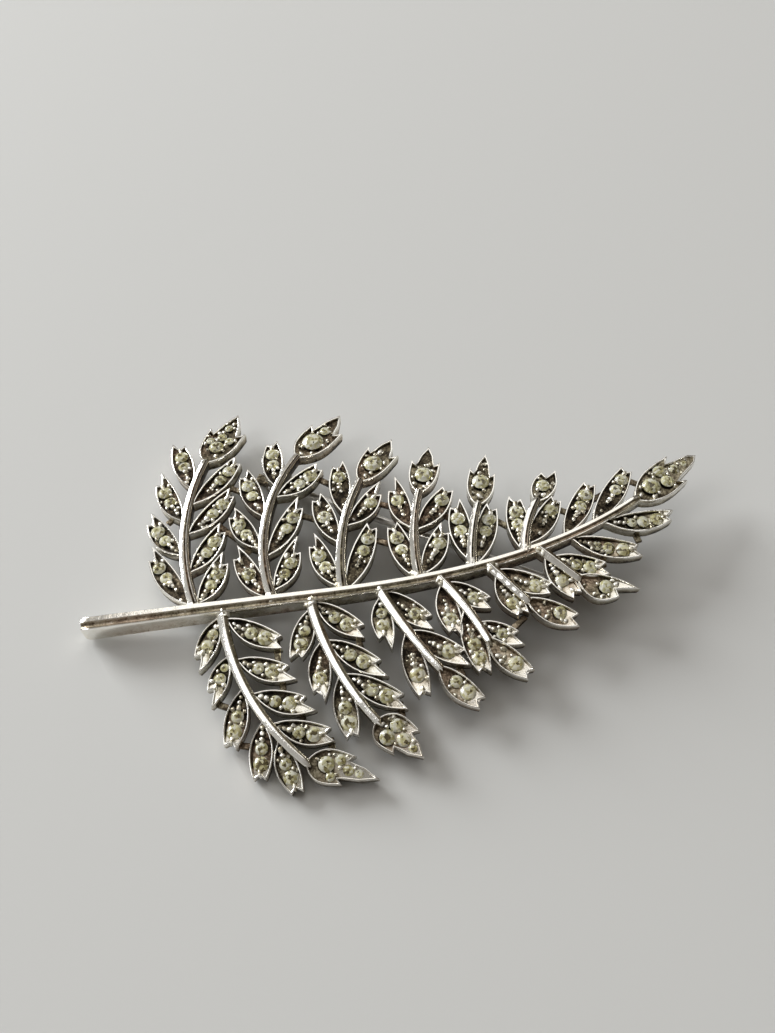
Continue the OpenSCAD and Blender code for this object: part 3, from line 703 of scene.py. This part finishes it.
RIM_PROFILE = [  # inwards, down from the rim, darkness
    (0.06, 1.6, 0.8), (0.02, 1.1, 0.55), (0.0, 0.6, 0.32), (0.0, 0.22, 0.15), (0.02, 0.09, 0.05),
    (0.06, 0.02, 0.0), (0.15, 0.0, 0.0), (0.21, 0.02, 0.0), (0.25, 0.09, 0.05), (0.26, 0.25, 0.35),
]
RIM_W, FLOOR_IN, RIM_TOP, RIM_WORN, RIM_WORN_PER_MM = 0.26, 0.02, 0.3, 0.05, 0.8
POCKET, POCKET_DARK, END_DARK = 0.65, 0.9, 0.7
UPPER_TEETH, LOWER_TEETH, TIP_TEETH, TEETH_LEN = (0.42, 0.82), (0.2, 0.06), (0.15, 0.62), 1.4
UPPER_FROM = 0.3


def ease(t):
    t = max(0, min(1, t))
    return t * t * (3 - 2 * t)


def teeth_of(heading):
    return UPPER_TEETH if sin(radians(heading)) > UPPER_FROM else LOWER_TEETH


def cup(part, outline, m, teeth_from, teeth, pocket_dark=POCKET_DARK):
    """A closed cup, from its underside up the wall, over the rim and down to the pocket's floor."""
    middle = m @ (sum(outline, Vector((0, 0))) / len(outline)).to_3d()
    deep, dark = teeth
    rings = []
    for r, down, dirt in RIM_PROFILE:
        ring, dirts = [], []
        for p in inset(outline, r) if r else outline:
            q = m @ Vector((p.x, p.y, 0))
            worn = RIM_WORN * noise.noise(q * RIM_WORN_PER_MM) if down < RIM_TOP else 0
            ring.append((p.x, p.y, worn - down))
            # Walls get painted shade on their lower right sides, away from the light.
            dirts.append(with_side_shade(dirt, (q - middle).xy.normalized()))
        rings.append(part.ring(ring, dirts, m))
    floor, tone = [], []
    for p in inset(outline, RIM_W + FLOOR_IN):
        k = ease(p.x - teeth_from)
        floor.append((p.x, p.y, -POCKET + (POCKET - deep) * k))
        tone.append(pocket_dark + (dark - pocket_dark) * k)
    rings.append(part.ring(floor, tone, m))
    part.loft(rings)


leaflets = Part()
for v in LEAFLETS:
    cup(leaflets, leaf_outline(v), leaf_matrix(v), min(v.left, v.right) - TEETH_LEN, teeth_of(v.heading))
leaflets.object("leaflet_cups", [PLATED], ["fern_frame"])
end_cups = Part()
for i, v in enumerate(END_LEAVES):
    cup(end_cups, end_outline(i), end_matrix(i), min(v.left, v.right) - TEETH_LEN,
        TIP_TEETH if i == MAIN else teeth_of(v.heading), END_DARK)
end_cups.object("end_leaf_cups", [PLATED], ["fern_frame"])

# Stones: a table, eight kites, eight stars and sixteen girdle facets over a foiled point. Rows are points,
# radius and height in stone radii, the tone, and the turn in steps. The crown's tones are painted light and
# shade: painted highlights at the kites and girdle, painted shade at the heart and centre.

STONE_Z, NOTCH_TO_SEAT, STONE_GAP, STONE_FULL = -0.24, 1.3, 0.02, 1.22
SHORT_STONE, STONE_PER_MM, SEATS_BACK, SAME_PLACE = 0.4, 0.08, (0, 1.9, 3.4), 0.01
# The centre's tone is painted shade, the dark heart of a cut stone.
CENTRE_Z, CENTRE_SHADE, POINT_Z = 0.31, 1.1, -0.5
HEART = (8, 0.16, 0.31, 0.75, 0.0)
TABLE = (8, TABLE_SHARE, 0.3, 0.28, 0.0)
KITES = (8, 0.79, 0.17, 0.08, 0.5)
GIRDLE = (16, 1.0, 0.02, 0.25, 0.0)
UNDER, LOW_RING = (16, 1.0, -0.03, 0.0, 0.0), (8, 0.45, -0.36, 0.0, 0.5)
AGES, DULLNESS, BROWN_FRONDS, BROWNER = (-0.35, 0.55), (-0.3, 0.3), (6, 7, 8), 0.4
# Seats: near-black discs of painted shade round the stones, in the gap between stone and pocket.
SEAT_SHOWS, SEAT_LIFT, SEAT_POINTS, SEAT_SHADE = 0.13, 0.05, 16, 1.0
draw = random.Random(7)
shade_discs = Part()


def most_d(q, outline):
    """The widest stone that clears the rim there."""
    return 2 * (room(q, outline) - RIM_W - STONE_GAP)


def leaf_seats(v):
    """A leaflet's stones, from the notch towards the foot: place and diameter."""
    short = min(v.left, v.right)
    x0 = short - NOTCH_IN - NOTCH_TO_SEAT - v.back
    k = min(1, SHORT_STONE + STONE_PER_MM * short)
    outline = leaf_outline(v)
    seats = []
    for i in range(v.stones):
        x = x0 - SEATS_BACK[i] * k
        q = Vector((x, arc_y(x / mean_len(v), arch(v.heading))))
        seats.append((q, min((STONE_D, INNER_STONE_D, THIRD_STONE_D)[i] * k, most_d(q, outline))))
    return seats


def end_seats(i):
    """An end leaf's stones, the main one first, as its solids have them: place and diameter."""
    v = END_LEAVES[i]
    return [(Vector((v.x, v.y)), v.d)] + [(Vector((x, y)), d) for k, x, y, d in END_STONES if k == i]


def end_d(i, q, d):
    """The diameter of an end leaf's stone, as large as the rim and the stones beside it allow."""
    beside = [2 * (q - p).length * d / (d + e) for p, e in end_seats(i) if (q - p).length > SAME_PLACE]
    return min(beside + [d * STONE_FULL, most_d(q, end_outline(i))])


def shade_disc(q, d, m):
    """The dark seat round a stone: a near-black disc of painted shade in the gap round it."""
    r = d / 2 + SEAT_SHOWS
    turns = [2 * pi * i / SEAT_POINTS for i in range(SEAT_POINTS)]
    ring = [(q[0] + r * cos(a), q[1] + r * sin(a), SEAT_LIFT - POCKET) for a in turns]
    shade_discs.face(shade_discs.ring(ring, SEAT_SHADE, m))


def stone(part, q, d, m, frond):
    """A stone of its own turn and age. Those of the first lower fronds are the brownest."""
    shade_disc(q, d, m)
    r = d / 2
    turned = draw.uniform(0, pi / 4)
    age = min(1, max(0, draw.uniform(*AGES) + (BROWNER if frond in BROWN_FRONDS else 0)))
    dull = max(0, draw.uniform(*DULLNESS))

    def ring(row, more):
        n, reach, z, tone, shift = row
        turns = [2 * pi * (i + shift) / n + turned for i in range(n)]
        points = [(q.x + reach * r * cos(a), q.y + reach * r * sin(a), STONE_Z + z * r) for a in turns]
        return part.ring(points, tone + more, m)
    centre = part.ring([(q.x, q.y, STONE_Z + CENTRE_Z * r)], CENTRE_SHADE, m)[0]
    heart, table, kite, girdle = (ring(row, dull) for row in (HEART, TABLE, KITES, GIRDLE))
    under, low = ring(UNDER, age), ring(LOW_RING, age)
    point = part.ring([(q.x, q.y, STONE_Z + POINT_Z * r)], age, m)[0]
    part.bridge(heart, table)
    for i in range(8):
        j = (i + 1) % 8
        part.face((centre, heart[i], heart[j]))
        part.face((table[i], table[j], kite[i]))
        part.face((table[j], kite[i], girdle[2 * j], kite[j]))
        part.face((kite[i], girdle[2 * i], girdle[2 * i + 1]))
        part.face((kite[i], girdle[2 * i + 1], girdle[(2 * i + 2) % 16]))
        part.face((low[i], under[2 * i + 1], under[2 * i]), 1)
        part.face((low[i], under[(2 * i + 2) % 16], under[2 * i + 1]), 1)
        part.face((low[i], point, low[j], under[(2 * j) % 16]), 1)
    part.bridge(girdle, under)


field = Part()
for v in LEAFLETS:
    for q, d in leaf_seats(v):
        stone(field, q, d, leaf_matrix(v), v.frond)
field.object("leaflet_paste", [CROWN, FOIL], ["leaf_stones"], sharp=0)
field = Part()
for i, x, y, d in END_STONES:
    q = Vector((x, y))
    stone(field, q, end_d(i, q, d), end_matrix(i), i)
field.object("end_leaf_paste", [CROWN, FOIL], ["end_stones"], sharp=0)
for i, v in enumerate(END_LEAVES):
    main = Part()
    q = Vector((v.x, v.y))
    stone(main, q, end_d(i, q, v.d), end_matrix(i), i)
    main.object(f"main_paste_{i + 1}", [CROWN, FOIL], [f"main_stone_{i + 1}"], sharp=0)

# Beads of metal raised beside the stones, prongs folded in from the notches, and loose grains that fill
# the pockets. Sizes are diameters, lifts are heights of the middle over the rim.

PRONG, PRONG_BACK, PRONG_LONG, PRONG_TURN = 0.6, 0.25, 2.0, 0.2
SIDE_BEAD, SIDE_LIFT, SIDE_LONG, SIDE_ROUND, SIDE_TURN, SIDE_REACH = 0.56, -0.16, 1.3, 52, 25, 0.22
MID_SHARE, MID_AT, MID_ASIDE = 0.6, 0.52, 0.66
BACK_ROUND, BACK_REACH, BACK_SIZE = 42, 0.2, 0.9
ROW, ROW_BEAD, ROW_LESS, ROW_STEP, ROW_GAP = 3, 0.72, 0.1, 0.95, 0.3
BEAD_LIFT, BEAD_LUMP, BEAD_LUMP_SCALE, BEAD_APART, BEAD_SHARP = -0.2, 0.6, 1.4, 9, 80
BEAD_JITTER, BEAD_SIZES, BEAD_LONG, BEAD_TURN, BEAD_CLEAR = 0.07, (0.78, 1.15), (1, 1.3), 0.5, 0.75
BEAD_RINGS, BEAD_SIDES = 4, 8
GRAIN_LIFT, GRAIN_DROP, GRAIN_LONG, OVERLAP = -0.32, 0.14, (1, 1.4), 0.06
LEAF_GRAINS, LEAF_GRAIN_SIZES, LEAF_GRAINS_BACK = 6, (0.34, 0.55), 1.2
END_GRAINS, END_GRAIN_SIZES, END_GRAINS_BACK = 40, (0.45, 0.75), 0.6
END_SIDE_BEADS, END_SIDE_SIZE, END_SIDE_REACH, END_SIDE_FIRST = 3, 0.85, 0.25, 60


def bead(part, q, d, m, z=BEAD_LIFT, stretch=1.0, heading=0.0):
    """A lumpy bead of its own form."""
    turn_it = m @ Matrix.Translation((q[0], q[1], z)) @ Matrix.Rotation(heading, 4, "Z")
    place = Vector((BEAD_APART * q[0], BEAD_APART * q[1], 0))
    rings = []
    for k in range(1, BEAD_RINGS + 1):
        a = pi * k / (BEAD_RINGS + 1)
        ring = []
        for i in range(BEAD_SIDES):
            turn = 2 * pi * i / BEAD_SIDES
            out = Vector((sin(a) * cos(turn), sin(a) * sin(turn), cos(a)))
            lump = 1 + BEAD_LUMP * noise.noise(BEAD_LUMP_SCALE * out + place)
            ring.append((d / 2 * stretch * lump * out.x, d / 2 * lump * out.y, d / 2 * lump * out.z))
        rings.append(part.ring(ring, 0.0, turn_it))
    part.loft(rings)


def inside(q, outline):
    crossings = 0
    for i, b in enumerate(outline):
        a = outline[i - 1]
        if (a.y > q.y) != (b.y > q.y) and q.x < a.x + (q.y - a.y) / (b.y - a.y) * (b.x - a.x):
            crossings += 1
    return crossings % 2 == 1


class Pocket:
    """One cup's inside, with the discs that are already taken there."""
    def __init__(self, part, outline, m, discs):
        self.part, self.outline, self.m = part, outline, m
        self.discs = [(q, d / 2) for q, d in discs]

    def free(self, q, d):
        if not inside(q, self.outline) or room(q, self.outline) < RIM_W + d / 2 - OVERLAP:
            return False
        return all((q - c).length > r + d / 2 - OVERLAP for c, r in self.discs)

    def bead(self, q, d, z=BEAD_LIFT, stretch=1.0, heading=0.0):
        q = q + Vector((draw.uniform(-BEAD_JITTER, BEAD_JITTER), draw.uniform(-BEAD_JITTER, BEAD_JITTER)))
        d = d * draw.uniform(*BEAD_SIZES)
        if self.free(q, d * BEAD_CLEAR):
            bead(self.part, q, d, self.m, z, stretch * draw.uniform(*BEAD_LONG),
                 heading + draw.uniform(-BEAD_TURN, BEAD_TURN))
            self.discs.append((q, d / 2))

    def grains(self, count, x_most, sizes):
        xs = [p.x for p in self.outline]
        ys = [p.y for p in self.outline]
        for _ in range(count):
            q = Vector((draw.uniform(min(xs), x_most), draw.uniform(min(ys), max(ys))))
            d = draw.uniform(*sizes)
            if self.free(q, d):
                lift = GRAIN_LIFT - draw.uniform(0, GRAIN_DROP)
                bead(self.part, q, d, self.m, lift, draw.uniform(*GRAIN_LONG), draw.uniform(0, pi))
                self.discs.append((q, d / 2))


def around(q, d, at_degrees, reach):
    return q + (d / 2 + reach) * heading_vector(at_degrees)


beads = Part()
for v in LEAFLETS:
    seats = leaf_seats(v)
    pocket = Pocket(beads, leaf_outline(v), leaf_matrix(v), seats)
    bow = arch(v.heading)
    short = min(v.left, v.right)
    bead(beads, Vector((short - NOTCH_IN - PRONG_BACK, arc_y(NOTCH_AT, bow))), PRONG, pocket.m, BEAD_LIFT,
         PRONG_LONG, draw.uniform(-PRONG_TURN, PRONG_TURN))
    q, d = seats[0]
    for s in (-1, 1):
        at = around(q, d, SIDE_ROUND * s, SIDE_REACH)
        pocket.bead(at, SIDE_BEAD, SIDE_LIFT, SIDE_LONG, radians(SIDE_TURN * s))
    for (q1, _), (q2, _) in zip(seats, seats[1:]):
        for s in (-1, 1):
            if draw.random() < MID_SHARE:
                pocket.bead(q1.lerp(q2, MID_AT) + Vector((0, s * MID_ASIDE)), SIDE_BEAD)
    q, d = seats[-1]
    for s in (-1, 1):
        if draw.random() < MID_SHARE:
            pocket.bead(around(q, d, 180 - BACK_ROUND * s, BACK_REACH), SIDE_BEAD * BACK_SIZE)
    x = q.x - d / 2 - ROW_GAP
    for i in range(ROW):
        size = ROW_BEAD - ROW_LESS * i
        pocket.bead(Vector((x, arc_y(x / mean_len(v), bow))), size)
        x -= size * ROW_STEP
    pocket.grains(LEAF_GRAINS, short - LEAF_GRAINS_BACK, LEAF_GRAIN_SIZES)
for i, v in enumerate(END_LEAVES):
    seats = [(q, end_d(i, q, d)) for q, d in end_seats(i)]
    pocket = Pocket(beads, end_outline(i), end_matrix(i), seats)
    for q, d in seats:
        first = draw.uniform(0, END_SIDE_FIRST)
        for k in range(END_SIDE_BEADS):
            at = around(q, d, first + 360 / END_SIDE_BEADS * k, END_SIDE_REACH)
            pocket.bead(at, SIDE_BEAD * END_SIDE_SIZE, SIDE_LIFT)
    pocket.grains(END_GRAINS, max(v.left, v.mid, v.right) - END_GRAINS_BACK, END_GRAIN_SIZES)
beads.object("grain_beads", [GRAIN], ["fern_frame"], sharp=BEAD_SHARP)

# Claws of the seat that has lost its stone, round a near-black disc of painted shade, and solder where the
# fronds leave the stem

EMPTY_BACK, EMPTY_D, CLAWS, CLAW, CLAW_RING, CLAW_LIFT, CLAW_LONG = 1.95, 1.4, 6, 0.32, 1.3, -0.15, 1.2
CLAW_FIRST = 30
SOLDER_AT, SOLDER_SPREAD, SOLDER_SIZES, SOLDER_LIFT, SOLDER_LONG = 0.7, (0.5, 0.4), (0.85, 1.15), -0.02, 1.3
SOLDER_BEADS = 3
extras = Part()
v = LEAFLETS[EMPTY_LEAF]
seat_at = leaf_seats(v)[0][0] - Vector((EMPTY_BACK, 0))
shade_disc(seat_at, EMPTY_D, leaf_matrix(v))
shade_discs.object("painted_seat_shade", [PLATED], ["fern_frame"])
for k in range(CLAWS):
    turn = 360 * k / CLAWS + CLAW_FIRST
    at = around(seat_at, CLAW_RING, turn, 0)
    bead(extras, at, CLAW, leaf_matrix(v), CLAW_LIFT, CLAW_LONG, radians(turn))
for path, length in zip(STEMS[:MAIN], LENGTHS):
    foot = along(path, length, SOLDER_AT)
    lift = Matrix.Translation((foot.x, foot.y, crown(foot)))
    for k in range(SOLDER_BEADS):
        at = Vector([draw.uniform(-most, most) for most in SOLDER_SPREAD])
        bead(extras, at, draw.uniform(*SOLDER_SIZES), lift, SOLDER_LIFT, SOLDER_LONG, draw.uniform(0, pi))
extras.object("claws_and_solder", [GRAIN], ["fern_frame"], sharp=BEAD_SHARP)

# Tie bars, the hinge's channel and the catch's ring

CHAMFER = 0.7


def slab(part, lo, hi, m, bevel, dirt):
    """A block with eased edges."""
    rings = []
    for z, inward in ((lo[2], bevel), (lo[2] + bevel, 0), (hi[2] - bevel, 0), (hi[2], bevel)):
        x0, x1, y0, y1 = lo[0] + inward, hi[0] - inward, lo[1] + inward, hi[1] - inward
        c = bevel * CHAMFER
        rings.append(part.ring([(x0 + c, y0, z), (x1 - c, y0, z), (x1, y0 + c, z), (x1, y1 - c, z),
                                (x1 - c, y1, z), (x0 + c, y1, z), (x0, y1 - c, z), (x0, y0 + c, z)], dirt, m))
    part.loft(rings)


TIE_EDGE, TIE_DIRT = 0.12, 0.75
ties = Part()
for x, y, a, length in TIES:
    m = Matrix.Translation((x, y, crown((x, y)) + TIE_Z)) @ Matrix.Rotation(radians(a), 4, "Z")
    slab(ties, (-length / 2, -TIE_W / 2, 0), (length / 2, TIE_W / 2, TIE_T), m, TIE_EDGE, TIE_DIRT)
ties.object("tie_bars", [PLATED], ["fern_frame"])

# The pin's own frame lies at the hinge's rivet with x along the needle and z up to the spray. The channel
# has two ears, a roof, a back wall, a foot behind it and a post up to the frond.

run = POINT - HINGE
PIN_FRAME = Matrix.Translation((HINGE.x, HINGE.y, -PIN_DROP)) @ Matrix.Rotation(atan2(run.y, run.x), 4, "Z")
EAR_T, EAR_GAP, LOW, ROOF, ROOF_T, BACK, FRONT, BACK_T = 0.4, 1.2, -1.05, 0.7, 0.35, -1.0, 2.6, 0.25
FOOT_LEN, FOOT_T, FOOT_HALF, POST_FROM, POST_TOP = 1.9, 0.8, 0.7, 1.2, 2.8
HALF, TOP = EAR_GAP / 2 + EAR_T, ROOF + ROOF_T
HINGE_SLABS = [  # lowest corner, highest corner, edge, tarnish
    ((BACK, -HALF, LOW), (FRONT, -EAR_GAP / 2, TOP), 0.08, 0.6),
    ((BACK, EAR_GAP / 2, LOW), (FRONT, HALF, TOP), 0.08, 0.6),
    ((BACK, -HALF, ROOF), (FRONT, HALF, TOP), 0.08, 0.35),
    ((BACK, -HALF, LOW), (BACK + BACK_T, HALF, TOP), 0.06, 0.35),
    ((BACK - FOOT_LEN, -FOOT_HALF, LOW), (BACK + BACK_T, FOOT_HALF, LOW + FOOT_T), 0.12, 0.7),
    ((POST_FROM, -FOOT_HALF, ROOF), (FRONT, FOOT_HALF, POST_TOP), 0.1, 0.45),
]
hinge = Part()
for lo, hi, edge, dirt in HINGE_SLABS:
    slab(hinge, lo, hi, PIN_FRAME, edge, dirt)
hinge.object("hinge_channel", [PLATED], ["fern_frame"])

CATCH_AT, CATCH_R, CATCH_T, CATCH_LEN, CATCH_SLOT = run.length - 2.2, 1.6, 0.6, 2.2, 1.15
CATCH_EDGE, CATCH_STEPS, CATCH_DIRT = 0.12, 36, 0.3
POST_HALF, CATCH_POST_TOP, CATCH_POST_EDGE, CATCH_POST_DIRT = 0.5, 3.4, 0.1, 0.45
CATCH_HALF, INNER_R, e = CATCH_LEN / 2, CATCH_R - CATCH_T, CATCH_EDGE
CATCH_SECTION = [(-CATCH_HALF + e, CATCH_R), (CATCH_HALF - e, CATCH_R), (CATCH_HALF, CATCH_R - e),
                 (CATCH_HALF, INNER_R + e), (CATCH_HALF - e, INNER_R), (-CATCH_HALF + e, INNER_R),
                 (-CATCH_HALF, INNER_R + e), (-CATCH_HALF, CATCH_R - e)]
slot_half = 0.5 * CATCH_SLOT / (CATCH_R - CATCH_T / 2)
catch = Part()
rings = []
for i in range(CATCH_STEPS + 1):
    a = -pi / 2 + slot_half + (2 * pi - 2 * slot_half) * i / CATCH_STEPS
    ring = [(CATCH_AT + x, r * cos(a), r * sin(a)) for x, r in CATCH_SECTION]
    rings.append(catch.ring(ring, CATCH_DIRT, PIN_FRAME))
catch.loft(rings)
slab(catch, (CATCH_AT - CATCH_HALF, -POST_HALF, CATCH_R - CATCH_T / 2),
     (CATCH_AT + CATCH_HALF, POST_HALF, CATCH_POST_TOP), PIN_FRAME, CATCH_POST_EDGE, CATCH_POST_DIRT)
catch.object("catch_ring", [PLATED], ["fern_frame"])

# The needle and its rivet keep their solids' shapes

for name in ("pin_needle", "hinge_rivet"):
    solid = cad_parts[name]
    solid.data.materials.clear()
    solid.data.materials.append(PIN)

# The table it lies on, the light and the camera

FLOOR_HALF = 3
floor_mesh = bpy.data.meshes.new("floor")
corners = [(x * FLOOR_HALF, y * FLOOR_HALF, 0) for x, y in ((-1, -1), (1, -1), (1, 1), (-1, 1))]
floor_mesh.from_pydata(corners, [], [(0, 1, 2, 3)])
floor = bpy.data.objects.new("floor", floor_mesh)
bpy.context.scene.collection.objects.link(floor)
floor.location.z = cad_box[0][2]
material, nodes, links, shader = new_material("floor_paper")
shader.inputs["Base Color"].default_value = (0.62, 0.62, 0.61, 1)
shader.inputs["Roughness"].default_value = 0.85
floor_mesh.materials.append(material)


def area_light(name, at, size, power, colour):
    """A square light that faces the brooch: place and size in metres, power in watts."""
    data = bpy.data.lights.new(name, "AREA")
    data.shape = "SQUARE"
    data.size = size
    data.energy = power
    data.color = colour
    light = bpy.data.objects.new(name, data)
    light.location = at
    light.rotation_euler = (-Vector(at)).to_track_quat("-Z", "Y").to_euler()
    bpy.context.scene.collection.objects.link(light)


area_light("key", (-1.56, 1.20, 0.70), 1.04, 60.0, (0.975, 0.995, 1.0))
area_light("left", (-0.80, -0.05, 0.82), 0.55, 2.0, (0.98, 0.99, 1.0))
area_light("overhead", (-0.03, 0.53, 0.95), 0.85, 2.2, (1.0, 0.99, 0.96))

# A dim room, lighter at the left
world = bpy.data.worlds.new("studio")
world.use_nodes = True
nodes, links = world.node_tree.nodes, world.node_tree.links
split = nodes.new("ShaderNodeSeparateXYZ")
links.new(nodes.new("ShaderNodeTexCoord").outputs["Generated"], split.inputs["Vector"])
shade = ramp(nodes, [(0.0, (0.46, 0.45, 0.43)), (0.5, (0.215, 0.198, 0.175)), (1.0, (0.08, 0.066, 0.05))])
links.new(mapped(nodes, links, split.outputs["X"], lowest=-1), shade.inputs["Fac"])
links.new(shade.outputs["Color"], nodes["Background"].inputs["Color"])
bpy.context.scene.world = world
bpy.context.scene.view_settings.view_transform = "Standard"

# The camera, from its place, its line of sight and its upward side
CAMERA_AT = Vector((-0.788, -68.322, 119.511)) / 1000
LOOK = Vector((-0.00533, 0.55892, -0.82921)).normalized()
UP = Vector((0.00457, 0.82922, 0.5589))
SENSOR, FOCAL_PX, FRAME_PX, NEAR = 36, 1050, 1033, 0.005
across = LOOK.cross(UP).normalized()
data = bpy.data.cameras.new("camera")
data.sensor_width = SENSOR
data.lens = SENSOR * FOCAL_PX / FRAME_PX
data.clip_start = NEAR
camera = bpy.data.objects.new("camera", data)
axes = Matrix((across, across.cross(LOOK), -LOOK)).transposed()
camera.matrix_world = Matrix.Translation(CAMERA_AT) @ axes.to_4x4()
bpy.context.scene.collection.objects.link(camera)
bpy.context.scene.camera = camera
